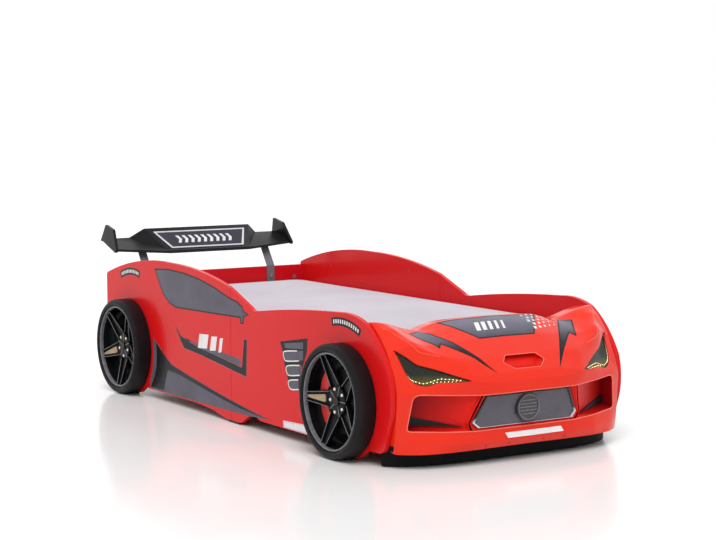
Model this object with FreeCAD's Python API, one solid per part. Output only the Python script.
import FreeCAD, Part
import math
import os

from FreeCAD import Vector

# Car bed for children. Millimetres, +Z up, the nose points to -Y, and the origin is
# on the floor under the middle of the bed. "Right" is the car's right side, at -X.

# ---------------------------------------------------------------- driving sizes
MATTRESS_WIDTH = 900.0
MATTRESS_LENGTH = 1900.0
MATTRESS_THICKNESS = 150.0
MATTRESS_UNDERSIDE = 254.0
MATTRESS_SIDE_GAP = 6.0
MATTRESS_FOOT_GAP = 6.0
MATTRESS_HEAD_GAP = 16.0

BOARD = 18.0                 # lacquered board of the sides, headboard and cross board
SEAM_Y = -33.0               # where the two halves of a side meet
SEAM_GAP = 0.5
SEAT = 0.3                   # running gap between pieces that only rest on each other
FILM = 0.4                   # printed film on the side panels
SHELL = 4.0                  # wall of the moulded bonnet and bumper

AXLE_Y = 821.6               # both axles lie this far from the middle
AXLE_Z = 191.0
TYRE_RADIUS = 190.5
TYRE_WIDTH = 70.0
TYRE_FACE_RADIUS = 180.0
RIM_RADIUS = 165.0
RIM_WALL = 5.0
ARCH_MARGIN = 6.5            # the side panel stands out this far round the tyre
GLIDE_HEIGHT = 8.0

HEADBOARD_TOP = 459.0
BOARD_BOTTOM = 60.0
BEARER_HEIGHT = 55.0
BEARER_WIDTH = 27.0
SLAT_THICKNESS = 14.0
SLAT_WIDTH = 68.0
SLAT_COUNT = 13
BEAM_SECTION = 40.0
LEG_COUNT = 3

SPOILER_SPAN = 860.0
SPOILER_REACH = 172.0        # the rearmost edge of the end fins behind the headboard
POST_X = 294.0
POST_WIDTH = 36.0
POST_THICKNESS = 5.0
POST_FOOT_Z = 262.0
POST_BOLT_Z = 419.0
POST_BOLT_PITCH = 110.0
POST_BOLT_HOLE = 6.4
POST_BOLT = 6.0

NUTS_PER_WHEEL = 5
NUT_CIRCLE = 40.0
NUT_RADIUS = 6.0
WHEEL_SCREWS = 3
SCREW_SHANK = 4.0
SCREW_HOLE = 4.4
SCREW_HEAD = 9.0
SCREW_HEAD_HEIGHT = 3.0
PLATE_SCREW_HEAD = 2.4
SCREW_BITE = 12.0            # how deep a screw holds in a side panel
WHEEL_SCREW_CIRCLE = 75.0

# ---------------------------------------------------------------- derived places
INNER_HALF = MATTRESS_WIDTH / 2 + MATTRESS_SIDE_GAP      # inner face of a side panel
OUTER_HALF = INNER_HALF + BOARD                          # outer face of a side panel
WELL_LENGTH = MATTRESS_LENGTH + MATTRESS_FOOT_GAP + MATTRESS_HEAD_GAP
DRAWN_HALF = 474.0                                       # half width the moulding is drawn at
DRAWN_WELL = 1922.0                                      # well length the outlines are drawn at
DRAWN_FRONT_BOARD_Y = -894.0
PLAIN_STRETCH = 600.0                                    # between the wheels, where length is taken up
HALF_EXTRA = (WELL_LENGTH - DRAWN_WELL) / 2


def along(y):
    """Moves a drawn lengthwise place to suit the length of the mattress well."""
    if abs(y) >= PLAIN_STRETCH:
        return y + math.copysign(HALF_EXTRA, y)
    return y * (1 + HALF_EXTRA / PLAIN_STRETCH)


def across(x):
    """Moves a drawn crosswise place to suit the width between the side panels."""
    return x * OUTER_HALF / DRAWN_HALF


FRONT_BOARD_Y = along(DRAWN_FRONT_BOARD_Y)               # the face that the mattress meets
HEADBOARD_Y = FRONT_BOARD_Y + WELL_LENGTH                # the face at the pillow end
REAR_Y = HEADBOARD_Y + BOARD
AXLES = (("front", -along(AXLE_Y)), ("rear", along(AXLE_Y)))
SIDES = (("right", -1), ("left", 1))
SLAT_TOP = MATTRESS_UNDERSIDE - SEAT
BEARER_TOP = SLAT_TOP - SLAT_THICKNESS
ARCH_RADIUS = TYRE_RADIUS + ARCH_MARGIN
FILM_HALF = OUTER_HALF + FILM


# ---------------------------------------------------------------- helpers
def box(x0, x1, y0, y1, z0, z1):
    low = Vector(min(x0, x1), min(y0, y1), min(z0, z1))
    return Part.makeBox(abs(x1 - x0), abs(y1 - y0), abs(z1 - z0), low)


def closed_face(points):
    return Part.Face(Part.makePolygon(points + [points[0]]))


def prism_x(outline, x0, x1):
    """A flat outline of (y, z) points pushed out along X."""
    return closed_face([Vector(x0, y, z) for y, z in outline]).extrude(Vector(x1 - x0, 0, 0))


def prism_y(outline, y0, y1):
    """A flat outline of (x, z) points pushed out along Y."""
    return closed_face([Vector(x, y0, z) for x, z in outline]).extrude(Vector(0, y1 - y0, 0))


def prism_z(outline, z0, z1):
    """A flat outline of (x, y) points pushed out along Z."""
    return closed_face([Vector(x, y, z0) for x, y in outline]).extrude(Vector(0, 0, z1 - z0))


def rod_x(y, z, radius, x0, x1):
    return Part.makeCylinder(radius, abs(x1 - x0), Vector(min(x0, x1), y, z), Vector(1, 0, 0))


def rod_y(x, z, radius, y0, y1):
    return Part.makeCylinder(radius, abs(y1 - y0), Vector(x, min(y0, y1), z), Vector(0, 1, 0))


def rod_z(x, y, radius, z0, z1):
    return Part.makeCylinder(radius, abs(z1 - z0), Vector(x, y, min(z0, z1)), Vector(0, 0, 1))


def mirrored(shape):
    return shape.mirror(Vector(0, 0, 0), Vector(1, 0, 0))


def on_side(shape, side):
    """Shapes are drawn on the left, at +X; the right one is their mirror image."""
    return shape if side > 0 else mirrored(shape)


def both_sides(shape):
    return [shape, mirrored(shape)]


def cut_all(shape, tools):
    for tool in tools:
        shape = shape.cut(tool)
    return shape


def between(points, at):
    """The values on a line of (place, value, value...) points at one place."""
    if at <= points[0][0]:
        return points[0][1:]
    for first, second in zip(points, points[1:]):
        if at <= second[0]:
            share = (at - first[0]) / (second[0] - first[0])
            return tuple(a + (b - a) * share for a, b in zip(first[1:], second[1:]))
    return points[-1][1:]


def middle_of(loop, core=None):
    """The mean of a loop's points, or only of its core points where it bends inward."""
    chosen = [loop[i] for i in core] if core else loop
    middle = Vector(0, 0, 0)
    for point in chosen:
        middle = middle + point
    return middle * (1.0 / len(chosen))


def solid_between(front, back, core=None):
    """A closed solid of flat faces between two loops with as many points each."""
    count = len(front)
    faces = []
    for loop in (front, back):
        middle = middle_of(loop, core)
        for i in range(count):
            faces.append(closed_face([loop[i], loop[(i + 1) % count], middle]))
    for i in range(count):
        j = (i + 1) % count
        faces.append(closed_face([front[i], front[j], back[j]]))
        faces.append(closed_face([front[i], back[j], back[i]]))
    solid = Part.Solid(Part.Shell(faces))
    solid.fix(0.01, 0.01, 0.01)
    return solid if solid.Volume > 0 else solid.reversed()


def shifted(loop, dx=0.0, dy=0.0, dz=0.0):
    return [Vector(p.x + dx, p.y + dy, p.z + dz) for p in loop]


def shrunk(loop, margin, core=None):
    """The loop drawn in towards its middle by about one margin."""
    middle = middle_of(loop, core)
    result = []
    for point in loop:
        ray = point - middle
        result.append(point - ray * (margin / ray.Length))
    return result


# ---------------------------------------------------------------- side panels
class Outline:
    """A closed outline in the YZ plane, built from lines and arcs through three points."""

    def __init__(self, start):
        self.first = start
        self.at = start
        self.edges = []

    def point(self, place):
        return Vector(0, place[0], place[1])

    def line(self, end):
        self.edges.append(Part.LineSegment(self.point(self.at), self.point(end)).toShape())
        self.at = end

    def arc(self, through, end):
        arc = Part.Arc(self.point(self.at), self.point(through), self.point(end))
        self.edges.append(arc.toShape())
        self.at = end

    def face(self):
        return Part.Face(Part.Wire(self.edges))


ROOF_PEAK = (470.0, 552.0)
ROOF_FRONT = (-20.0, 498.0)
SILL_END = (-780.0, 478.0)
NOSE_TOP = (-945.0, 455.0)
NOSE_BROW = (-1084.0, 298.0)
NOSE_TIP = (-1095.0, 228.0)
NOSE_CHIN = (-1064.0, 90.0)
BOTTOM_EDGE = 36.0
FOOT_Y = (-104.0, 11.0)


def arch_point(axle, height, way):
    """Where the round lobe behind a wheel passes one height."""
    return (axle + way * math.sqrt(ARCH_RADIUS ** 2 - (AXLE_Z - height) ** 2), height)


def arch_bottom(axle, way):
    """The lowest point that an arc along the lobe passes before it turns flat."""
    angle = math.radians(32)
    return (axle + way * ARCH_RADIUS * math.sin(angle), AXLE_Z - ARCH_RADIUS * math.cos(angle))


def placed(place):
    return (along(place[0]), place[1])


def panel_face():
    """The whole side of the car as one flat outline, before it is cut at the seam."""
    front = AXLES[0][1]
    rear = AXLES[1][1]
    outline = Outline((REAR_Y, 120.0))
    outline.line((REAR_Y, 460.0))
    outline.arc((REAR_Y - 1.5, 468.0), (REAR_Y - 10.0, 474.5))
    outline.arc(placed((778.0, 534.0)), placed(ROOF_PEAK))
    outline.arc(placed((218.0, 539.0)), placed(ROOF_FRONT))
    outline.line(placed((-178.0, 438.0)))
    outline.arc(placed((-196.0, 430.0)), placed((-222.0, 428.5)))
    outline.arc(placed((-502.0, 460.0)), placed(SILL_END))
    outline.arc(placed((-872.0, 476.0)), placed(NOSE_TOP))
    outline.arc(placed((-1030.0, 381.0)), placed(NOSE_BROW))
    outline.arc(placed(NOSE_TIP), placed((-1087.0, 160.0)))
    outline.line(placed(NOSE_CHIN))
    outline.arc(placed((-1050.0, 58.0)), placed((-1020.0, 46.0)))
    outline.line(arch_point(front, 44.0, -1))
    outline.arc(arch_bottom(front, -1), arch_point(front, GLIDE_HEIGHT, -1))
    outline.line(arch_point(front, GLIDE_HEIGHT, 1))
    outline.arc(arch_bottom(front, 1), arch_point(front, BOTTOM_EDGE, 1))
    outline.line(placed((-246.0, BOTTOM_EDGE + 1)))
    outline.line(placed((-190.0, 57.0)))
    outline.line((along(FOOT_Y[0]), GLIDE_HEIGHT))
    outline.line((along(FOOT_Y[1]), GLIDE_HEIGHT))
    outline.line(placed((121.0, 27.0)))
    outline.line(placed((250.0, BOTTOM_EDGE - 1)))
    outline.line(arch_point(rear, BOTTOM_EDGE, -1))
    outline.arc(arch_bottom(rear, -1), arch_point(rear, GLIDE_HEIGHT, -1))
    outline.line(arch_point(rear, GLIDE_HEIGHT, 1))
    outline.arc(arch_bottom(rear, 1), arch_point(rear, 70.0, 1))
    outline.line((REAR_Y - 14.0, 96.0))
    outline.arc((REAR_Y - 3.0, 106.0), (REAR_Y, 120.0))
    return outline.face()


def wheel_screw_places():
    """Where the screws of each wheel pass the side panel, as (y, z)."""
    places = []
    for _, axle in AXLES:
        for i in range(WHEEL_SCREWS):
            turn = math.radians(90 + 360 * i / WHEEL_SCREWS)
            places.append((axle + WHEEL_SCREW_CIRCLE * math.cos(turn),
                           AXLE_Z + WHEEL_SCREW_CIRCLE * math.sin(turn)))
    return places


SEAM_PLATE = 2.0
SEAM_PLATE_HALF = 45.0
SEAM_PLATE_SPANS = ((72.0, 150.0), (290.0, 394.0))
SEAM_SCREW_HEIGHTS = (100.0, 315.0, 372.0)
SEAM_SCREW_REACH = 28.0      # from the seam to a screw on either side of it


def seam_screw_places():
    """Where the joining plate of the two halves is screwed on, as (y, z)."""
    places = []
    for z in SEAM_SCREW_HEIGHTS:
        for way in (-1, 1):
            places.append((along(SEAM_Y) + way * SEAM_SCREW_REACH, z))
    return places


def side_panels():
    """Both halves of both sides, with the holes for the wheel screws."""
    whole = panel_face().extrude(Vector(BOARD, 0, 0))
    whole.translate(Vector(INNER_HALF, 0, 0))
    holes = [rod_x(y, z, SCREW_HOLE / 2, INNER_HALF - 1, OUTER_HALF + 1)
             for y, z in wheel_screw_places()]
    blind = [rod_x(y, z, SCREW_SHANK / 2, INNER_HALF - 1, INNER_HALF + SCREW_BITE)
             for y, z in seam_screw_places()]
    whole = cut_all(whole, holes + blind + panel_cam_holes() + bearer_pilot_holes())
    seam = along(SEAM_Y)
    far = 3000.0
    rear = whole.cut(box(INNER_HALF - 1, OUTER_HALF + 1, -far, seam + SEAM_GAP / 2, -1, far))
    front = whole.cut(box(INNER_HALF - 1, OUTER_HALF + 1, seam - SEAM_GAP / 2, far, -1, far))
    for name, side in SIDES:
        yield f"side_panel_{name}_rear", [on_side(rear, side)]
        yield f"side_panel_{name}_front", [on_side(front, side)]


# ---------------------------------------------------------------- printed films
WINDOW = [(594, 520), (480, 528), (340, 524), (206, 510), (86, 488), (-26, 460), (-83, 452),
          (-120, 438), (-135, 421), (-172, 410), (-135, 399), (-130, 374), (-108, 371),
          (-105, 393), (-25, 391), (209, 386), (401, 382), (461, 392), (522, 426)]
DOOR_STROKE = [(420, 316), (396, 286), (371, 257), (342, 233), (213, 223), (53, 206), (-149, 183),
               (-155, 320), (-133, 318), (-116, 214), (53, 232), (213, 248), (295, 262), (370, 277)]
SKIRT = [(612, 246), (588, 232), (530, 196), (485, 172), (451, 156), (299, 131), (135, 106),
         (-22, 84), (-173, 66), (-318, 51), (-172, 44), (-28, 42), (218, 40), (472, 40), (648, 40)]
VENT = [(-394, 339), (-581, 370), (-577, 323), (-540, 253), (-525, 182), (-457, 178),
        (-447, 217), (-427, 257), (-417, 284), (-411, 311)]
SKIRT_MARGIN = 14.0          # red left showing between the skirt film and the tyre
SILL_PLATE = [(-412, 64), (-414, 40), (-600, 40), (-602, 72)]


def badge_outline(middle_y, middle_z, tilt):
    """An arched band, drawn as two arcs of points about one middle."""
    inner = 266.0
    outer = inner + 28.0
    reach = math.radians(18.5)
    steps = 6
    points = []
    for radius, order in ((outer, range(steps + 1)), (inner, range(steps, -1, -1))):
        for i in order:
            turn = -reach + 2 * reach * i / steps + math.radians(tilt)
            points.append((middle_y + radius * math.sin(turn),
                           middle_z + radius * math.cos(turn) - outer))
    return points


def film(outline, keep_out=None):
    """One printed film on both sides, cut where the panel is cut at its seam."""
    solid = prism_x([placed(p) for p in outline], OUTER_HALF, FILM_HALF)
    if keep_out is not None:
        solid = solid.cut(keep_out)
    seam = along(SEAM_Y)
    solid = solid.cut(box(OUTER_HALF - 1, FILM_HALF + 1, seam - SEAM_GAP / 2, seam + SEAM_GAP / 2, 0, 900))
    pieces = []
    for piece in solid.Solids:
        pieces += both_sides(piece)
    return pieces


def side_films():
    rear_axle = AXLES[1][1]
    tyre_room = rod_x(rear_axle, AXLE_Z, ARCH_RADIUS + SKIRT_MARGIN, OUTER_HALF - 1, FILM_HALF + 1)
    yield "window_film", film(WINDOW)
    yield "door_stroke_film", film(DOOR_STROKE)
    yield "skirt_film", film(SKIRT, tyre_room)
    yield "vent_film", film(VENT)
    yield "arched_badge_film", film(badge_outline(798, 508, 4.5)) + film(badge_outline(-798, 463, -6.4))


# ---------------------------------------------------------------- wheels
TYRE_BACK = 0.0
SPOKE_COUNT = 5
SPOKE_HUB_HALF = 30.0        # a spoke's two ridges spread towards the hub
SPOKE_RIM_HALF = 17.0
SPOKE_RIM_FRONT = 60.0       # and they rise from the hub's face to the rim
SPOKE_DEPTH = 14.0
RIDGE = 8.0
RIDGE_CREST = 1.6            # drawn in from a ridge's foot to its crest on either side
WEB = 5.0                    # the plate between a spoke's two ridges
HUB_RADIUS = 50.0
HUB_FRONT = 32.0
SPOKE_HUB_END = HUB_RADIUS - 8
NUT_SEAT = HUB_FRONT - 8
RIM_BACK_PLATE = 6.0
DISC_RADIUS = 110.0
DISC_SEAT = 10.0
DISC_THICKNESS = 6.0
DISC_HAT = 14.0              # the disc's raised middle reaches this far past the hub
CALIPER_TURN = 50.0          # degrees to either side of its middle
CALIPER_OVER = 14.0
CALIPER_UNDER = 32.0
CALIPER_FRONT = 22.0         # clear of the spokes
CENTRE_CAP_RADIUS = 15.0
CENTRE_CAP = 5.0
FIRST_SPOKE = {"front": 180.0, "rear": 270.0}


def turned_x(profile, y, z):
    """Turns a closed (depth from the panel, radius) outline about a wheel's axle."""
    points = [Vector(OUTER_HALF + depth, y, z + radius) for depth, radius in profile]
    return closed_face(points).revolve(Vector(0, y, z), Vector(1, 0, 0), 360)


def tyre_profile():
    seat = RIM_RADIUS
    return [(TYRE_BACK, seat), (TYRE_BACK, TYRE_RADIUS - 4), (4.0, TYRE_RADIUS),
            (TYRE_WIDTH - 24, TYRE_RADIUS), (TYRE_WIDTH - 13, TYRE_RADIUS - 2),
            (TYRE_WIDTH - 5, TYRE_FACE_RADIUS + 2), (TYRE_WIDTH, TYRE_FACE_RADIUS - 5),
            (TYRE_WIDTH - 1, RIM_RADIUS + 5), (TYRE_WIDTH - 6, seat)]


def rim_profile():
    inner = RIM_RADIUS - SEAT
    return [(SEAT, 0.0), (SEAT, inner), (TYRE_WIDTH - 9, inner), (TYRE_WIDTH - 9, inner - RIM_WALL),
            (RIM_BACK_PLATE, inner - RIM_WALL - 3), (RIM_BACK_PLATE, 0.0)]


def polar(y, z, radius, degrees, outward):
    """A point about an axle; 0 degrees points to the nose and 90 up."""
    turn = math.radians(degrees)
    return (y - radius * math.cos(turn) - outward * math.sin(turn),
            z + radius * math.sin(turn) - outward * math.cos(turn))


def spoke_quad(y, z, degrees, low, high, sunk):
    """A four-cornered face along a spoke, from one reach across to another, below the crest."""
    rim_end = RIM_RADIUS - RIM_WALL
    slope = (SPOKE_RIM_FRONT - HUB_FRONT) / (rim_end - HUB_RADIUS)
    spread = (SPOKE_RIM_HALF - SPOKE_HUB_HALF) / (rim_end - HUB_RADIUS)
    corners = []
    for radius, shares in ((SPOKE_HUB_END, (low, high)), (rim_end, (high, low))):
        depth = HUB_FRONT + slope * (radius - HUB_RADIUS) - sunk
        half = SPOKE_HUB_HALF + spread * (radius - HUB_RADIUS)
        for side, inward in shares:
            corners.append(Vector(OUTER_HALF + depth, *polar(y, z, radius, degrees, side * (half - inward))))
    return corners


def spoke(y, z, degrees):
    """One spoke: two sharp ridges that spread to the hub, with a sunk web between them."""
    parts = []
    for side in (-1, 1):
        foot = spoke_quad(y, z, degrees, (side, 0.0), (side, RIDGE), SPOKE_DEPTH)
        crest = spoke_quad(y, z, degrees, (side, RIDGE_CREST), (side, RIDGE - RIDGE_CREST), 0.0)
        parts.append(solid_between(crest, foot))
    inset = RIDGE / 2
    back = spoke_quad(y, z, degrees, (-1, inset), (1, inset), SPOKE_DEPTH)
    front = spoke_quad(y, z, degrees, (-1, inset), (1, inset), SPOKE_DEPTH - WEB)
    return parts[0].fuse(parts[1]).fuse(solid_between(front, back))


def rim(y, z, first_spoke):
    shape = turned_x(rim_profile(), y, z)
    hub = rod_x(y, z, HUB_RADIUS, OUTER_HALF + RIM_BACK_PLATE, OUTER_HALF + HUB_FRONT)
    shape = shape.fuse(hub)
    for i in range(SPOKE_COUNT):
        shape = shape.fuse(spoke(y, z, first_spoke + i * 360 / SPOKE_COUNT))
    for i in range(NUTS_PER_WHEEL):
        ny, nz = polar(y, z, NUT_CIRCLE, first_spoke + i * 360 / NUTS_PER_WHEEL, 0)
        room = rod_x(ny, nz, NUT_RADIUS + 1, OUTER_HALF + NUT_SEAT, OUTER_HALF + HUB_FRONT + 1)
        shape = shape.cut(room)
    for sy, sz in wheel_screw_places():
        if abs(sy - y) < RIM_RADIUS:
            shape = shape.cut(rod_x(sy, sz, SCREW_SHANK / 2, OUTER_HALF - 1, OUTER_HALF + RIM_BACK_PLATE - 1))
    return shape


def wheel_nuts(y, z, first_spoke):
    nuts = []
    for i in range(NUTS_PER_WHEEL):
        ny, nz = polar(y, z, NUT_CIRCLE, first_spoke + i * 360 / NUTS_PER_WHEEL, 0)
        corners = []
        for k in range(6):
            turn = math.radians(60 * k)
            corners.append((ny + NUT_RADIUS * math.cos(turn), nz + NUT_RADIUS * math.sin(turn)))
        nuts.append(prism_x(corners, OUTER_HALF + NUT_SEAT, OUTER_HALF + HUB_FRONT + 3))
    return nuts


def brake_disc(y, z):
    disc = rod_x(y, z, DISC_RADIUS, OUTER_HALF + DISC_SEAT, OUTER_HALF + DISC_SEAT + DISC_THICKNESS)
    hat = rod_x(y, z, HUB_RADIUS + DISC_HAT, OUTER_HALF + RIM_BACK_PLATE,
                OUTER_HALF + DISC_SEAT + DISC_THICKNESS)
    return disc.fuse(hat).cut(rod_x(y, z, HUB_RADIUS + SEAT, OUTER_HALF, OUTER_HALF + TYRE_WIDTH))


def caliper(y, z, degrees):
    """A curved block that holds the disc's edge, on the side of the wheel that faces midships."""
    steps = 8
    outer = []
    inner = []
    for i in range(steps + 1):
        turn = degrees - CALIPER_TURN + 2 * CALIPER_TURN * i / steps
        outer.append(polar(y, z, DISC_RADIUS + CALIPER_OVER, turn, 0))
        inner.append(polar(y, z, DISC_RADIUS - CALIPER_UNDER, turn, 0))
    block = prism_x(outer + inner[::-1], OUTER_HALF + RIM_BACK_PLATE, OUTER_HALF + CALIPER_FRONT)
    slot = rod_x(y, z, DISC_RADIUS + SEAT, OUTER_HALF + DISC_SEAT - SEAT,
                 OUTER_HALF + DISC_SEAT + DISC_THICKNESS + SEAT)
    return block.cut(slot)


def wheels():
    nuts = []
    caps = []
    discs = []
    calipers = []
    for side_name, side in SIDES:
        for axle_name, y in AXLES:
            name = f"{axle_name}_{side_name}"
            tyre = turned_x(tyre_profile(), y, AXLE_Z)
            yield f"tyre_{name}", [on_side(tyre, side)]
            first = FIRST_SPOKE[axle_name]
            yield f"rim_{name}", [on_side(rim(y, AXLE_Z, first), side)]
            nuts += [on_side(nut, side) for nut in wheel_nuts(y, AXLE_Z, first)]
            cap = rod_x(y, AXLE_Z, CENTRE_CAP_RADIUS, OUTER_HALF + HUB_FRONT,
                        OUTER_HALF + HUB_FRONT + CENTRE_CAP)
            caps.append(on_side(cap, side))
            discs.append(on_side(brake_disc(y, AXLE_Z), side))
            toward_middle = 180.0 if axle_name == "front" else 0.0
            calipers.append(on_side(caliper(y, AXLE_Z, toward_middle), side))
    yield "wheel_nuts", nuts
    yield "wheel_centre_caps", caps
    yield "brake_discs", discs
    yield "brake_calipers", calipers


def side_screws():
    """Screws from inside the sides: for the wheels, the joining plates and the bearers."""
    screws = []
    for y, z in wheel_screw_places():
        shank = rod_x(y, z, SCREW_SHANK / 2, INNER_HALF, OUTER_HALF + RIM_BACK_PLATE - 1)
        head = rod_x(y, z, SCREW_HEAD / 2, INNER_HALF - SCREW_HEAD_HEIGHT, INNER_HALF)
        screws += both_sides(shank.fuse(head))
    plate_face = INNER_HALF - SEAM_PLATE
    for y, z in seam_screw_places():
        shank = rod_x(y, z, SCREW_SHANK / 2, plate_face, INNER_HALF + SCREW_BITE)
        head = rod_x(y, z, SCREW_HEAD / 2, plate_face - PLATE_SCREW_HEAD, plate_face)
        screws += both_sides(shank.fuse(head))
    bearer_face = INNER_HALF - BEARER_WIDTH
    for y, z in bearer_screw_places():
        shank = rod_x(y, z, SCREW_SHANK / 2, bearer_face, INNER_HALF + SCREW_BITE)
        head = rod_x(y, z, SCREW_HEAD / 2, bearer_face - SCREW_HEAD_HEIGHT, bearer_face)
        screws += both_sides(shank.fuse(head))
    yield "panel_screws", screws


def seam_plates():
    """A steel plate over each seam, above and below the mattress bearer."""
    seam = along(SEAM_Y)
    pieces = []
    for low, high in SEAM_PLATE_SPANS:
        plate = box(INNER_HALF - SEAM_PLATE, INNER_HALF,
                    seam - SEAM_PLATE_HALF, seam + SEAM_PLATE_HALF, low, high)
        holes = [rod_x(y, z, SCREW_HOLE / 2, INNER_HALF - 5, INNER_HALF + 1)
                 for y, z in seam_screw_places() if low < z < high]
        pieces += both_sides(cut_all(plate, holes))
    yield "seam_plates", pieces


GLIDE_HALF_LENGTH = 40.0
GLIDE_INSET = 2.0


def glides():
    """Plastic feet under the lobes of the sides and under the foot at the seam."""
    pieces = []
    middles = [AXLES[0][1], AXLES[1][1], along(sum(FOOT_Y) / 2)]
    for y in middles:
        pieces += both_sides(box(INNER_HALF + GLIDE_INSET, OUTER_HALF - GLIDE_INSET,
                                 y - GLIDE_HALF_LENGTH, y + GLIDE_HALF_LENGTH, 0, GLIDE_HEIGHT))
    yield "floor_glides", pieces


# ---------------------------------------------------------------- bonnet and bumper moulding
# Feature lines across the moulding, drawn for its left half as (x, y, z) from the middle out.
REAR_RIDGE = [(0, -950, 453), (140, -950, 450), (200, -950, 445), (240, -950, 435), (274, -950, 422),
              (323, -952, 431), (385, -958, 450), (423, -962, 459), (450, -955, 462), (474, -945, 459)]
BONNET_BACK = [(0, -1000, 438), (140, -1000, 434), (240, -1000, 422), (310, -1000, 411),
               (365, -1000, 424), (408, -1004, 444), (440, -1000, 434), (474, -993, 421)]
BONNET_MIDDLE = [(0, -1073, 398), (140, -1073, 396), (268, -1071, 387), (325, -1071, 388),
                 (385, -1068, 407), (423, -1046, 389), (450, -1040, 382), (474, -1035, 379)]
BONNET_FRONT = [(0, -1143, 346), (200, -1143, 344), (240, -1146, 342), (300, -1117, 358),
                (345, -1098, 378), (385, -1080, 394), (423, -1054, 382), (450, -1052, 362), (474, -1055, 355)]
HEADLIGHT_TOP = [(0, -1196, 300), (140, -1194, 296), (226, -1196, 281), (300, -1148, 303),
                 (379, -1093, 326), (431, -1051, 376), (450, -1062, 340), (474, -1078, 322)]
HEADLIGHT_FOOT = [(0, -1213, 272), (140, -1210, 270), (226, -1197, 278), (300, -1169, 275),
                  (373, -1132, 272), (419, -1092, 305), (450, -1088, 296), (474, -1092, 280)]
LIP = [(0, -1218, 238), (110, -1217, 237), (192, -1206, 236), (300, -1170, 240),
       (409, -1126, 245), (426, -1118, 246), (450, -1106, 240), (474, -1100, 232)]
MOUTH_FOOT = [(0, -1176, 112), (200, -1174, 112), (300, -1156, 116), (409, -1118, 122),
              (426, -1110, 124), (450, -1099, 126), (474, -1090, 128)]
BUMPER_BELLY = [(0, -1190, 76), (200, -1184, 76), (300, -1168, 78), (409, -1124, 82),
                (450, -1098, 88), (474, -1076, 92)]
BUMPER_FOOT = [(0, -1170, 53), (200, -1170, 52), (300, -1162, 51), (380, -1140, 50),
               (423, -1114, 50), (450, -1092, 50), (474, -1060, 54)]
MOULDING_LINES = (REAR_RIDGE, BONNET_BACK, BONNET_MIDDLE, BONNET_FRONT, HEADLIGHT_TOP,
                  HEADLIGHT_FOOT, LIP, MOUTH_FOOT, BUMPER_BELLY, BUMPER_FOOT)
PANEL_GAP = 1.5              # dark line between the moulding and the side panel
EDGE_STATION = (INNER_HALF - PANEL_GAP) * DRAWN_HALF / OUTER_HALF
STATIONS = (0, 70, 140, 192, 226, 274, 300, 345, 379, 409, 431, EDGE_STATION)
ROOM_STATIONS = STATIONS[:-1] + (DRAWN_HALF,)
REAR_LIP_DROP = 7.0
ROOM_FRONT = 8.0
ROOM_TAIL = 30.0
RIM_START = 2.0              # a tray's walls are drawn from here and trimmed to the shell's back


def moulding_profile(x):
    """The outer profile of the moulding at one drawn place across it, rear to foot."""
    profile = []
    for line in MOULDING_LINES:
        y, z = between(line, x)
        profile.append((along(y), z))
    rear_z = profile[0][1] - REAR_LIP_DROP
    return [(FRONT_BOARD_Y, rear_z)] + profile


def inward(profile, wall):
    """The same profile drawn in by the wall, square to its run at each point."""
    result = []
    last = len(profile) - 1
    for i, (y, z) in enumerate(profile):
        before = profile[max(i - 1, 0)]
        after = profile[min(i + 1, last)]
        run = Vector(0, after[0] - before[0], after[1] - before[1])
        run.normalize()
        result.append((y - run.z * wall, z + run.y * wall))
    return result


def section_wire(x, outer, inner):
    points = [Vector(x, y, z) for y, z in outer + inner[::-1]]
    return Part.makePolygon(points + [points[0]])


HEADLIGHT = [(431, 376), (379, 326), (226, 281), (300, 275), (373, 272), (419, 305)]
MOUTH = [(0, 236), (192, 234), (300, 238), (409, 243), (426, 124), (300, 117), (200, 113), (0, 113)]


def moulding_y(x, z):
    """How far forward the moulding's outer face is at a drawn place below its lip."""
    profile = moulding_profile(x)
    for (y0, z0), (y1, z1) in zip(profile, profile[1:]):
        if z1 <= z <= z0:
            return y0 + (y1 - y0) * (z0 - z) / max(z0 - z1, 0.01)
    return profile[-1][0]


HEADLIGHT_CORE = (1, 4)      # the outline bends inward between these two points


def headlight_loop(back, margin=0.0):
    """The headlight's outline on the moulding's face, set back by a depth and drawn in."""
    loop = [Vector(across(x), moulding_y(x, z) + back, z) for x, z in HEADLIGHT]
    return shrunk(loop, margin, HEADLIGHT_CORE)


SCOOP_HALF = 62.0
SCOOP_TIP_HALF = 84.0
SCOOP_TOP = 346.0
SCOOP_MID = 326.0
SCOOP_FOOT = 306.0
SCOOP_DEPTH = 22.0
SCOOP_DRAW = 10.0            # its floor is drawn in by this much
SCOOP_WALL = 2.5
CUT_FROM_Y = -1300.0         # openings are cut from ahead of the nose
CUT_REACH = 500.0


def scoop_outline():
    return [(-SCOOP_HALF, SCOOP_TOP), (SCOOP_HALF, SCOOP_TOP), (SCOOP_TIP_HALF, SCOOP_MID),
            (52, SCOOP_FOOT), (-52, SCOOP_FOOT), (-SCOOP_TIP_HALF, SCOOP_MID)]


def skin(near, far, stations, tail=0.0):
    """A layer of the moulding between two depths behind its outer face."""
    wires = []
    for x in stations:
        outer = moulding_profile(abs(x))
        if tail > 0:
            rise = (outer[1][1] - outer[0][1]) / (outer[0][0] - outer[1][0])
            outer = [(outer[0][0] + tail, outer[0][1] - rise * tail)] + outer[1:]
        wires.append(section_wire(across(x), inward(outer, near), inward(outer, far)))
    return Part.makeLoft(wires, True, True)


def whole_width(stations):
    return [-x for x in stations[:0:-1]] + list(stations)


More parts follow.
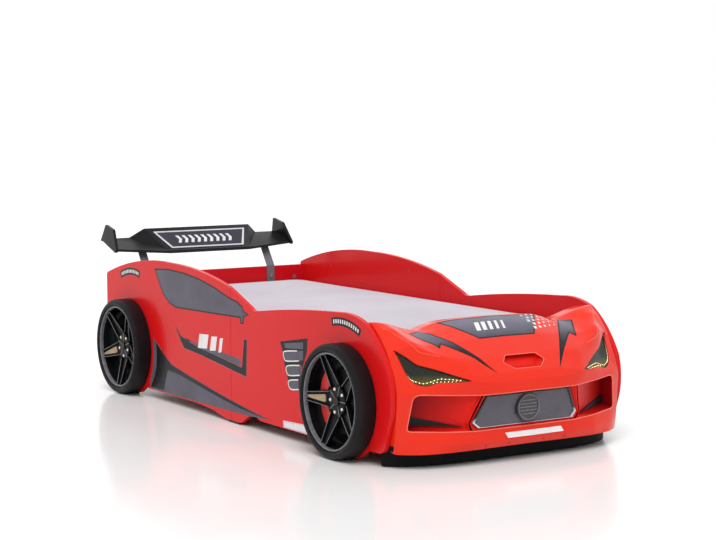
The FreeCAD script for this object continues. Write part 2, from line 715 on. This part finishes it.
def moulding_shell():
    """The red shell: one wall of even thickness with its openings cut through."""
    shell = skin(0.0, SHELL, whole_width(STATIONS))
    y0 = along(CUT_FROM_Y)
    headlight = prism_y([(across(x), z) for x, z in HEADLIGHT], y0, y0 + CUT_REACH)
    mouth = [(across(x), z) for x, z in MOUTH]
    mouth += [(-x, z) for x, z in mouth[-2:0:-1]]
    tools = both_sides(headlight) + [prism_y(mouth, y0, y0 + CUT_REACH)]
    tools.append(prism_y([(across(x), z) for x, z in scoop_outline()], y0, y0 + CUT_REACH))
    return cut_all(shell, tools)


def shell_room(behind=0.0):
    """What the shell fills, with a seat behind it, to trim the pieces that lie against it."""
    return skin(-ROOM_FRONT, SHELL + SEAT + behind, whole_width(ROOM_STATIONS), ROOM_TAIL)


def on_face(outline, back):
    """Drawn (x, z) points laid on the moulding's outer face, then set back by a depth."""
    return [Vector(across(x), moulding_y(abs(x), z) + back, z) for x, z in outline]


def tray(front, floor, wall, core=None):
    """A tray of one wall, open at its front loop, with its floor behind the floor loop."""
    outer = solid_between(shrunk(front, -wall, core), shifted(shrunk(floor, -wall, core), dy=wall), core)
    inner = solid_between(shifted(front, dy=-1.0), floor, core)
    return outer.cut(inner)


def scoop_tray():
    front = on_face(scoop_outline(), RIM_START)
    floor = shifted(shrunk(front, SCOOP_DRAW), dy=SCOOP_DEPTH)
    return tray(front, floor, SCOOP_WALL).cut(shell_room())


INTAKE_FRONT = [(196, 234), (409, 243), (426, 124), (300, 117), (217, 113), (230, 141)]
INTAKE_FLOOR = [(202, -1186, 225), (398, -1076, 232), (412, -1064, 136), (300, -1120, 128),
                (226, -1158, 124), (236, -1158, 141)]
GRILLE_FRONT = [(188, 234), (222, 141), (208, 113)]
GRILLE_FLOOR = [(170, -1182, 226), (212, -1163, 141), (192, -1168, 123)]
TRAY_WALL = 3.0
GRILLE_PLATE = 4.0
GRILLE_FRAME = 5.0
GRILLE_FRAME_WIDTH = 7.0
BADGE_RADIUS = 46.0
BADGE_Z = 177.0


def drawn(points):
    return [Vector(across(x), along(y), z) for x, y, z in points]


def symmetric(points):
    """The loop of the left half's points, closed over the middle."""
    return points + [Vector(-p.x, p.y, p.z) for p in points[::-1]]


def intake_tray():
    return tray(on_face(INTAKE_FRONT, RIM_START), drawn(INTAKE_FLOOR), TRAY_WALL).cut(shell_room())


def intake_end():
    """The black three-cornered end piece low in the outer end of an intake."""
    corners = drawn([(409, -1067, 139), (405, -1070, 168), (240, -1154, 129)])
    block = solid_between(shifted(corners, dy=-4.0), shifted(corners, dy=6.0))
    return min(block.cut(intake_tray()).Solids, key=lambda piece: piece.CenterOfMass.y)


def grille_tray():
    front = symmetric(on_face(GRILLE_FRONT, RIM_START))
    floor = symmetric(drawn(GRILLE_FLOOR))
    return tray(front, floor, TRAY_WALL).cut(shell_room())


def grille_plate():
    floor = shrunk(symmetric(drawn(GRILLE_FLOOR)), SEAT)
    return solid_between(shifted(floor, dy=-GRILLE_PLATE), shifted(floor, dy=-0.05))


def grille_frame():
    floor = shrunk(symmetric(drawn(GRILLE_FLOOR)), SEAT)
    front = -GRILLE_PLATE - GRILLE_FRAME
    ring = solid_between(shifted(floor, dy=front), shifted(floor, dy=-GRILLE_PLATE))
    opening = shrunk(floor, GRILLE_FRAME_WIDTH)
    return ring.cut(solid_between(shifted(opening, dy=front - 5), shifted(opening, dy=5.0)))


def grille_badge():
    face = along(-1182) - GRILLE_PLATE - 1.0
    disc = rod_y(0, BADGE_Z, BADGE_RADIUS, face - 2, face + 14)
    pieces = disc.cut(grille_plate()).Solids
    return min(pieces, key=lambda piece: piece.CenterOfMass.y)


LENS = 2.5
LENS_RIM = 4.0               # the lens reaches this far behind the shell all round
HOUSING_DRAW = 14.0
HOUSING_DEPTH = 34.0
HOUSING_WALL = 2.5
LENS_STATIONS = tuple(x for x in STATIONS if x > 190)


def face_patch(outline, near, far):
    """A piece of the moulding's layer inside an (x, z) outline, for the left side."""
    layer = skin(near, far, LENS_STATIONS)
    return layer.common(prism_y(outline, along(CUT_FROM_Y), FRONT_BOARD_Y - BOARD))


def headlight_lens():
    loop = headlight_loop(0.0, -LENS_RIM)
    back = SHELL + SEAT
    return face_patch([(p.x, p.z) for p in loop], back, back + LENS)


def headlight_housing():
    front = headlight_loop(RIM_START, -1.5)
    floor = shifted(headlight_loop(SHELL, HOUSING_DRAW), dy=HOUSING_DEPTH)
    return tray(front, floor, HOUSING_WALL, HEADLIGHT_CORE).cut(shell_room(LENS + SEAT))


LED_EDGE = [(272, 282), (300, 280), (370, 279), (411, 308), (424, 352)]
LED_STRIP_WIDTH = 6.0
LED_STRIP_THICKNESS = 2.8


def led_strip():
    """A slim light strip along the lower edge of the headlight, in front of its lens."""
    low = [(across(x), z) for x, z in LED_EDGE]
    high = [(x - LED_STRIP_WIDTH * 0.6, z + LED_STRIP_WIDTH) for x, z in low]
    back = SHELL + SEAT
    return face_patch(low + high[::-1], back - LED_STRIP_THICKNESS, back)


FRONT_PLATE = [(-88, 99), (0, 99), (142, 99), (150, 82), (0, 82), (-80, 82)]
PLATE_THICKNESS = 1.5


def front_plate():
    """The bare plate on the bumper, bent a little where the bumper is."""
    face = on_face(FRONT_PLATE, -0.1)
    halves = []
    for corners in ((0, 1, 4, 5), (1, 2, 3, 4)):
        loop = [face[i] for i in corners]
        halves.append(solid_between(shifted(loop, dy=-PLATE_THICKNESS), loop))
    return halves[0].fuse(halves[1]).removeSplitter()


BASE_LOW = 57.0
BASE_STATIONS = (0, 100, 200, 300, 380, 423, 446)
TOE_SETBACK = 62.0
TOE_LOW = 3.0
TOE_GAP = 60.0               # between the toe board's ends and the cross board


def base_outline(back, rear):
    """The plan of a board that follows the bumper's foot at one distance behind it."""
    edge = INNER_HALF - SEAT
    places = [x for x in BASE_STATIONS if across(x) < edge] + [edge * DRAWN_HALF / OUTER_HALF]
    half = [(across(x), moulding_y(x, BASE_LOW) + back) for x in places] + [(edge, rear)]
    return half + [(-x, y) for x, y in half[:0:-1]]


def bumper_base_board():
    """The board that the bumper's foot is fixed to, reaching back to the cross board."""
    board = prism_z(base_outline(RIM_START, FRONT_BOARD_Y - BOARD - SEAT), BASE_LOW, BASE_LOW + BOARD)
    board = board.cut(shell_room())
    for point, out in foot_screw_places():
        board = cut_all(board, both_sides(tilted_rod(point, out, SCREW_SHANK / 2, 10.0, -FOOT_SCREW_LENGTH)))
    return board


def toe_board():
    """The black upright board under the bumper, set back from its foot."""
    rear = FRONT_BOARD_Y - BOARD - TOE_GAP
    outer = prism_z(base_outline(TOE_SETBACK, rear), TOE_LOW, BASE_LOW)
    return outer.cut(prism_z(base_outline(TOE_SETBACK + BOARD, rear + 1.0), 0.0, BASE_LOW + 1))


CONTROL_BOX = (120.0, 210.0, 180.0, 232.0)     # x and z reach of the light's control box
CONTROL_DEPTH = 28.0
INLET_RADIUS = 4.0


def light_control_box():
    """The closed box that feeds the light strips, with its low-voltage inlet below."""
    x0, x1, z0, z1 = CONTROL_BOX
    face = FRONT_BOARD_Y - BOARD
    case = box(x0, x1, face - CONTROL_DEPTH, face, z0, z1)
    room = box(x0 + 2, x1 - 2, face - CONTROL_DEPTH + 2, face - 2, z0 + 12, z1 - 2)
    inlet = rod_z((x0 + x1) / 2, face - CONTROL_DEPTH / 2, INLET_RADIUS, z0 - 1, z0 + 11)
    pin = rod_z((x0 + x1) / 2, face - CONTROL_DEPTH / 2, 1.0, z0 + 1, z0 + 12)
    return case.cut(room).cut(inlet).fuse(pin)


FOOT_SCREW_X = (70.0, 160.0)
FOOT_SCREW_LENGTH = 16.0
FOOT_SCREW_SHARE = 0.6       # how far down the bumper's undercut face the screws are


def foot_screw_places():
    """Where screws hold the bumper's foot, as a point on its outer face and the way out."""
    places = []
    for x in FOOT_SCREW_X:
        belly, foot = moulding_profile(x)[-2:]
        run = Vector(0, foot[0] - belly[0], foot[1] - belly[1])
        start = Vector(across(x), belly[0], belly[1])
        point = start + run * FOOT_SCREW_SHARE
        run.normalize()
        places.append((point, Vector(0, run.z, -run.y)))
    return places


def tilted_rod(point, out, radius, high, low):
    """A round rod along one direction, between two distances from a point."""
    return Part.makeCylinder(radius, high - low, point + out * low, out)


def foot_screws():
    """Screws up through the bumper's undercut face into the edge of the base board."""
    screws = []
    for point, out in foot_screw_places():
        shank = tilted_rod(point, out, SCREW_SHANK / 2, SEAT + 1.0, -FOOT_SCREW_LENGTH)
        head = tilted_rod(point, out, SCREW_HEAD / 2, SEAT + 2.0, SEAT)
        screws += both_sides(shank.fuse(head))
    return screws


def front_end():
    holes = []
    for point, out in foot_screw_places():
        holes += both_sides(tilted_rod(point, out, SCREW_HOLE / 2, 10.0, -10.0))
    yield "bonnet_bumper_shell", [cut_all(moulding_shell(), holes)]
    yield "bonnet_scoop_tray", [scoop_tray()]
    for name, side in SIDES:
        yield f"intake_tray_{name}", [on_side(intake_tray(), side)]
        yield f"headlight_lens_{name}", [on_side(headlight_lens(), side)]
    yield "headlight_housings", both_sides(headlight_housing())
    yield "headlight_led_strips", both_sides(led_strip())
    yield "intake_end_pieces", both_sides(intake_end())
    yield "grille_tray", [grille_tray()]
    yield "grille_mesh_plate", [grille_plate()]
    yield "grille_frame", [grille_frame()]
    yield "grille_badge", [grille_badge()]
    yield "bare_plates", [front_plate()] + film(SILL_PLATE)
    yield "bumper_base_board", [bumper_base_board()]
    yield "toe_board", [toe_board()]
    yield "light_control_box", [light_control_box()]
    yield "moulding_screws", foot_screws()


# ---------------------------------------------------------------- boards across the bed
CAM_RADIUS = 7.5
CAM_DEPTH = 13.0
CAM_REACH = 41.0             # from a side panel's inner face to the middle of a cam
CAM_BOLT = 6.0
CAM_BOLT_ENTRY = 10.0
CAM_CAP_RADIUS = 9.0
CAM_CAP = 1.6
HEAD_CAMS = (150.0, 407.0)
FRONT_CAMS = (150.0, 372.0)


def cam_places():
    """Each cam as (y of the face it opens to, way into the board, height)."""
    places = [(HEADBOARD_Y, 1, z) for z in HEAD_CAMS]
    places += [(FRONT_BOARD_Y, -1, z) for z in FRONT_CAMS]
    return places


def cam_rooms():
    rooms = []
    for y, way, z in cam_places():
        rooms.append(rod_y(INNER_HALF - CAM_REACH, z, CAM_RADIUS, y, y + way * CAM_DEPTH))
        rooms.append(rod_x(y + way * BOARD / 2, z, CAM_BOLT / 2, INNER_HALF - CAM_REACH, INNER_HALF + 1))
    return rooms


def panel_cam_holes():
    return [rod_x(y + way * BOARD / 2, z, CAM_BOLT / 2, INNER_HALF - 1, INNER_HALF + CAM_BOLT_ENTRY)
            for y, way, z in cam_places()]


def cam_fittings():
    """The fittings that draw the cross boards to the sides, and their white caps."""
    cams = []
    bolts = []
    caps = []
    for y, way, z in cam_places():
        x = INNER_HALF - CAM_REACH
        bolt = rod_x(y + way * BOARD / 2, z, CAM_BOLT / 2, x, INNER_HALF + CAM_BOLT_ENTRY)
        cam = rod_y(x, z, CAM_RADIUS, y, y + way * CAM_DEPTH).cut(bolt)
        cap = rod_y(x, z, CAM_CAP_RADIUS, y - way * CAM_CAP, y)
        cams += both_sides(cam)
        bolts += both_sides(bolt)
        caps += both_sides(cap)
    yield "cam_fittings", cams
    yield "cam_bolts", bolts
    yield "cam_cover_caps", caps


def post_bolt_heights():
    return (POST_BOLT_Z, POST_BOLT_Z - POST_BOLT_PITCH)


def headboard():
    half = INNER_HALF - SEAT
    board = box(-half, half, HEADBOARD_Y, REAR_Y, BOARD_BOTTOM, HEADBOARD_TOP)
    rooms = cam_rooms()
    for z in post_bolt_heights():
        rooms.append(rod_y(POST_X, z, POST_BOLT_HOLE / 2, HEADBOARD_Y - 1, REAR_Y + 1))
    for room in rooms:
        board = cut_all(board, both_sides(room))
    return board


def front_board():
    """The cross board behind the moulding; its top follows the moulding's rear lip."""
    half = INNER_HALF - SEAT
    top = []
    for x in STATIONS:
        if across(x) < half:
            top.append((across(x), moulding_profile(x)[0][1]))
    top.append((half, top[-1][1]))
    outline = [(half, BOARD_BOTTOM)] + top[::-1] + [(-x, z) for x, z in top[1:]] + [(-half, BOARD_BOTTOM)]
    board = prism_y(outline, FRONT_BOARD_Y - BOARD, FRONT_BOARD_Y)
    for room in cam_rooms():
        board = cut_all(board, both_sides(room))
    return board.cut(shell_room())


# ---------------------------------------------------------------- mattress base
BEARER_SCREWS = 6
BEARER_END_GAP = 2.0
BEARER_SCREW_END = 80.0      # from a cross board to the nearest screw of a bearer
SLAT_END_GAP = 10.0
SLAT_SIDE_GAP = 3.0
LEG_RADIUS = 18.0
LEG_FOOT_RADIUS = 24.0


def bearer_screw_places():
    """Where the bearers are screwed to the side panels, as (y, z)."""
    start = FRONT_BOARD_Y + BEARER_SCREW_END
    step = (WELL_LENGTH - 2 * BEARER_SCREW_END) / (BEARER_SCREWS - 1)
    middle = BEARER_TOP - BEARER_HEIGHT / 2
    return [(start + step * i, middle) for i in range(BEARER_SCREWS)]


def base_parts():
    low = BEARER_TOP - BEARER_HEIGHT
    start = FRONT_BOARD_Y + BEARER_END_GAP
    end = HEADBOARD_Y - BEARER_END_GAP
    bearer = box(INNER_HALF - BEARER_WIDTH, INNER_HALF, start, end, low, BEARER_TOP)
    for y, z in bearer_screw_places():
        bearer = bearer.cut(rod_x(y, z, SCREW_HOLE / 2, INNER_HALF - BEARER_WIDTH - 1, INNER_HALF + 1))
    for name, side in SIDES:
        yield f"mattress_bearer_{name}", [on_side(bearer, side)]
    slats = []
    run = WELL_LENGTH - SLAT_WIDTH - 2 * (POST_THICKNESS + SLAT_END_GAP)
    for i in range(SLAT_COUNT):
        y = FRONT_BOARD_Y + SLAT_END_GAP + run * i / (SLAT_COUNT - 1)
        half = INNER_HALF - SLAT_SIDE_GAP
        slats.append(box(-half, half, y, y + SLAT_WIDTH, BEARER_TOP, SLAT_TOP))
    yield "slats", slats
    beam_low = BEARER_TOP - BEAM_SECTION
    half = BEAM_SECTION / 2
    yield "centre_beam", [box(-half, half, start, end, beam_low, BEARER_TOP)]
    legs = []
    for i in range(LEG_COUNT):
        y = FRONT_BOARD_Y + WELL_LENGTH * (i + 1) / (LEG_COUNT + 1)
        leg = rod_z(0, y, LEG_RADIUS, GLIDE_HEIGHT, beam_low)
        legs.append(leg.fuse(rod_z(0, y, LEG_FOOT_RADIUS, 0, GLIDE_HEIGHT)))
    yield "centre_legs", legs


def bearer_pilot_holes():
    return [rod_x(y, z, SCREW_SHANK / 2, INNER_HALF - 1, INNER_HALF + SCREW_BITE)
            for y, z in bearer_screw_places()]


def rounded_ring(inset, corner, z):
    """One level of the mattress: a rectangle with round corners."""
    x = MATTRESS_WIDTH / 2 - inset
    y0 = FRONT_BOARD_Y + MATTRESS_FOOT_GAP + inset
    y1 = y0 + MATTRESS_LENGTH - 2 * inset
    k = corner * (1 - math.sqrt(0.5))
    corners = [((x, y1 - corner), (x - k, y1 - k), (x - corner, y1)),
               ((-x + corner, y1), (-x + k, y1 - k), (-x, y1 - corner)),
               ((-x, y0 + corner), (-x + k, y0 + k), (-x + corner, y0)),
               ((x - corner, y0), (x - k, y0 + k), (x, y0 + corner))]
    edges = []
    for i, (start, through, end) in enumerate(corners):
        a, b, c = (Vector(px, py, z) for px, py in (start, through, end))
        edges.append(Part.Arc(a, b, c).toShape())
        following = corners[(i + 1) % 4][0]
        edges.append(Part.LineSegment(c, Vector(following[0], following[1], z)).toShape())
    return Part.Wire(edges)


# (drawn in from the full width, corner radius, share of the thickness) from below to the crown
MATTRESS_LEVELS = ((14, 50, 0.0), (3, 56, 0.06), (0, 58, 0.14), (5, 56, 0.47), (0, 58, 0.80),
                   (4, 56, 0.89), (16, 50, 0.945), (60, 40, 0.975), (170, 30, 1.0))


def mattress():
    wires = [rounded_ring(inset, corner, MATTRESS_UNDERSIDE + share * MATTRESS_THICKNESS)
             for inset, corner, share in MATTRESS_LEVELS]
    yield "mattress", [Part.makeLoft(wires, True, True)]


# ---------------------------------------------------------------- rear wing
WING_FRONT_Y = REAR_Y - 25.0
WING_LOW_Z = 535.0
WING_RISE = 53.0
WING_SWEEP = 48.0            # its front edge runs back by this much out to the fins
WING_REAR_Y = REAR_Y + 144.0
WING_THICKNESS = 13.0
WING_BASE = 3.0
WING_WALL = 3.0
FACE_FOOT_HALF = 190.0
FACE_TOP_HALF = 252.0
FACE_TOP_Y = REAR_Y + 102.0
FACE_TOP_Z = 638.0
SHOULDER_HALF = 318.0
FIN_TOP_Z = 658.0
FIN_LEAN = 18.0
FIN_THICKNESS = 12.0


def wing_low(y, lift=0.0):
    """The height of the wing's underside at one place along the car."""
    share = (y - WING_FRONT_Y) / (WING_REAR_Y - WING_FRONT_Y)
    return WING_LOW_Z + lift + WING_RISE * share


def polyhedron(points, faces):
    solid = Part.Solid(Part.Shell([closed_face([points[i] for i in face]) for face in faces]))
    return solid if solid.Volume > 0 else solid.reversed()


def wing_centre(inset, low):
    """The raised middle of the wing: a sloping face with a facet down to each arm."""
    foot = FACE_FOOT_HALF - inset
    top = FACE_TOP_HALF - inset
    shoulder = SHOULDER_HALF - inset * 2
    front = WING_FRONT_Y + inset
    rear = WING_REAR_Y - inset
    half = [(foot, front, wing_low(front, low)), (top, FACE_TOP_Y, FACE_TOP_Z - inset),
            (top, FACE_TOP_Y + 12, FACE_TOP_Z - 3 - inset), (shoulder, rear, wing_low(rear, low))]
    points = [Vector(*p) for p in half] + [Vector(-x, y, z) for x, y, z in half]
    faces = [(0, 1, 5, 4), (1, 2, 6, 5), (2, 3, 7, 6), (0, 4, 7, 3),
             (0, 3, 1), (1, 3, 2), (4, 5, 7), (5, 6, 7)]
    return polyhedron(points, faces)


def swept_off(front):
    """What the sweep takes off the wing's front edge, on the left side."""
    end = SPOILER_SPAN / 2
    return prism_z([(FACE_FOOT_HALF, front), (end, front + WING_SWEEP), (end + 1, front + WING_SWEEP),
                    (end + 1, front - 1), (FACE_FOOT_HALF, front - 1)], WING_LOW_Z - 20, FIN_TOP_Z)


def wing_plate(inset, low, high, half):
    """A layer of the wing, its front edge swept back towards both ends."""
    front = WING_FRONT_Y + inset
    rear = WING_REAR_Y - inset
    outline = [(front, wing_low(front, low)), (rear, wing_low(rear, low)),
               (rear - 5, wing_low(rear - 5, high)), (front + 6, wing_low(front + 6, high))]
    return cut_all(prism_x(outline, -half, half), both_sides(swept_off(front)))


def fin():
    """The upright end of the wing, leaning in towards its top."""
    half = SPOILER_SPAN / 2
    front = WING_FRONT_Y + WING_SWEEP
    outline = [(front - 6, wing_low(front - 6)), (front - 14, wing_low(front) + 9.0),
               (REAR_Y + 65, FIN_TOP_Z - 17), (REAR_Y + 142, FIN_TOP_Z), (REAR_Y + SPOILER_REACH, 590.0),
               (WING_REAR_Y, wing_low(WING_REAR_Y) - 1)]
    outer = []
    inner = []
    for y, z in outline:
        lean = FIN_LEAN * max(z - WING_LOW_Z, 0) / (FIN_TOP_Z - WING_LOW_Z)
        outer.append(Vector(half - lean, y, z))
        inner.append(Vector(half - lean - FIN_THICKNESS, y, z))
    return solid_between(outer, inner)


def spoiler_shell():
    half = SPOILER_SPAN / 2
    body = wing_plate(0.0, WING_BASE, WING_THICKNESS, half - 8)
    body = body.fuse(wing_centre(0.0, WING_BASE))
    room = wing_plate(10.0, 0.0, WING_THICKNESS - WING_WALL, half - 26)
    room = room.fuse(wing_centre(6.0, 0.0))
    body = body.cut(room)
    base_room = wing_plate(8.0, -1.0, WING_BASE, half - 22)
    for piece in both_sides(fin()):
        body = body.fuse(piece)
    return body.cut(base_room)


def spoiler_base():
    half = SPOILER_SPAN / 2 - 22 - SEAT
    plate = wing_plate(8.0 + SEAT, 0.0, WING_BASE, half)
    holes = [rod_z(POST_X, y, POST_BOLT_HOLE / 2, 400, 700) for y in tab_bolt_ys()]
    for hole in holes:
        plate = cut_all(plate, both_sides(hole))
    return plate


def tab_bolt_ys():
    return (POST_TOP_Y + 22, POST_TOP_Y + 50)


def face_point(x, share, out):
    """A point on the wing's sloping face, lifted off it by a small distance."""
    dy = FACE_TOP_Y - WING_FRONT_Y
    dz = FACE_TOP_Z - WING_LOW_Z - WING_BASE
    run = math.hypot(dy, dz)
    return Vector(x, WING_FRONT_Y + dy * share - out * dz / run,
                  WING_LOW_Z + WING_BASE + dz * share + out * dy / run)


PANEL_LOW = 0.19
PANEL_HIGH = 0.85
PANEL_FOOT_HALF = 172.0
PANEL_TOP_HALF = 220.0
PANEL_EDGE = 7.0
PANEL_THICKNESS = 1.2
PANEL_FRAME_THICKNESS = 2.2
PANEL_LIFT = 0.05            # both lie this far off the wing's face


def face_loop(out, margin):
    slope = (FACE_TOP_Y - WING_FRONT_Y) * 1.26
    step = margin / slope
    return [face_point(PANEL_FOOT_HALF - margin, PANEL_LOW + step, out),
            face_point(PANEL_TOP_HALF - margin * 1.6, PANEL_HIGH - step, out),
            face_point(-PANEL_TOP_HALF + margin * 1.6, PANEL_HIGH - step, out),
            face_point(-PANEL_FOOT_HALF + margin, PANEL_LOW + step, out)]


def spoiler_face():
    """The face panel of the wing and the silver frame round it."""
    margin = PANEL_EDGE + SEAT
    panel = solid_between(face_loop(PANEL_THICKNESS, margin), face_loop(PANEL_LIFT, margin))
    yield "spoiler_face_panel", [panel]
    frame = solid_between(face_loop(PANEL_FRAME_THICKNESS, 0.0), face_loop(PANEL_LIFT, 0.0))
    opening = solid_between(face_loop(4.0, PANEL_EDGE), face_loop(-2.0, PANEL_EDGE))
    yield "spoiler_face_frame", [frame.cut(opening)]


POST_BEND_Z = HEADBOARD_TOP + 3.0
POST_TOP_Y = REAR_Y + 44.0
TAB_LENGTH = 70.0


def strip_outline(line, thickness):
    """The side view of a flat bar: a line of (y, z) points given its thickness."""
    back = []
    for i, (y, z) in enumerate(line):
        before = line[max(i - 1, 0)]
        after = line[min(i + 1, len(line) - 1)]
        first = Vector(0, y - before[0], z - before[1])
        second = Vector(0, after[0] - y, after[1] - z)
        first = first if first.Length > 0 else second
        second = second if second.Length > 0 else first
        first.normalize()
        second.normalize()
        bisector = first + second
        bisector.normalize()
        offset = thickness / bisector.dot(first)
        back.append((y - bisector.z * offset, z + bisector.y * offset))
    return line + back[::-1]


def spoiler_post():
    """A flat steel bar: up the headboard's inner face, back over it, then under the wing."""
    face = HEADBOARD_Y
    seat = wing_low(POST_TOP_Y) - POST_THICKNESS
    end_y = POST_TOP_Y + TAB_LENGTH
    line = [(face, POST_FOOT_Z), (face, POST_BEND_Z), (POST_TOP_Y, seat),
            (end_y, wing_low(end_y) - POST_THICKNESS)]
    outline = strip_outline(line, POST_THICKNESS)
    bar = prism_x(outline, POST_X - POST_WIDTH / 2, POST_X + POST_WIDTH / 2)
    bar = bar.cut(wing_plate(0.0, 0.0, WING_THICKNESS, SPOILER_SPAN / 2))
    for z in post_bolt_heights():
        bar = bar.cut(rod_y(POST_X, z, POST_BOLT_HOLE / 2, face - 20, face + 20))
    for y in tab_bolt_ys():
        bar = bar.cut(rod_z(POST_X, y, POST_BOLT_HOLE / 2, 400, 700))
    return bar


def post_bolts():
    """Round-headed bolts through post and headboard, with a nut at the back."""
    bolts = []
    front = HEADBOARD_Y - POST_THICKNESS
    for z in post_bolt_heights():
        shank = rod_y(POST_X, z, POST_BOLT / 2, front, REAR_Y + 7)
        head = rod_y(POST_X, z, 6.5, front - 3.5, front)
        nut = rod_y(POST_X, z, 5.5, REAR_Y, REAR_Y + 5)
        bolts += both_sides(shank.fuse(head).fuse(nut))
    for y in tab_bolt_ys():
        seat = wing_low(y)
        shank = rod_z(POST_X, y, POST_BOLT / 2, seat - POST_THICKNESS - 4, seat + 9)
        head = rod_z(POST_X, y, 6.0, seat - POST_THICKNESS - 6, seat - POST_THICKNESS - 2)
        bolts += both_sides(shank.fuse(head))
    yield "post_bolts", bolts


def rear_end():
    yield "headboard", [headboard()]
    yield "spoiler_shell", [spoiler_shell()]
    yield "spoiler_base", [spoiler_base()]
    yield from spoiler_face()
    for name, side in SIDES:
        yield f"spoiler_post_{name}", [on_side(spoiler_post(), side)]
    yield from post_bolts()


def cross_boards():
    yield "front_cross_board", [front_board()]
    yield from cam_fittings()


# ---------------------------------------------------------------- the parts and their files
def all_parts():
    groups = (side_panels, side_films, wheels, side_screws, seam_plates, glides, front_end,
              rear_end, cross_boards, base_parts, mattress)
    for group in groups:
        yield from group()


def main():
    os.makedirs("parts", exist_ok=True)
    for name, solids in all_parts():
        shape = solids[0] if len(solids) == 1 else Part.makeCompound(solids)
        shape.exportStep(f"parts/{name}.step")
        count = len(shape.Solids)
        state = "ok" if shape.isValid() and count == len(solids) else "CHECK"
        print(f"{name:28s} {state} solids {count} volume {shape.Volume / 1000:.1f} cm3")


main()
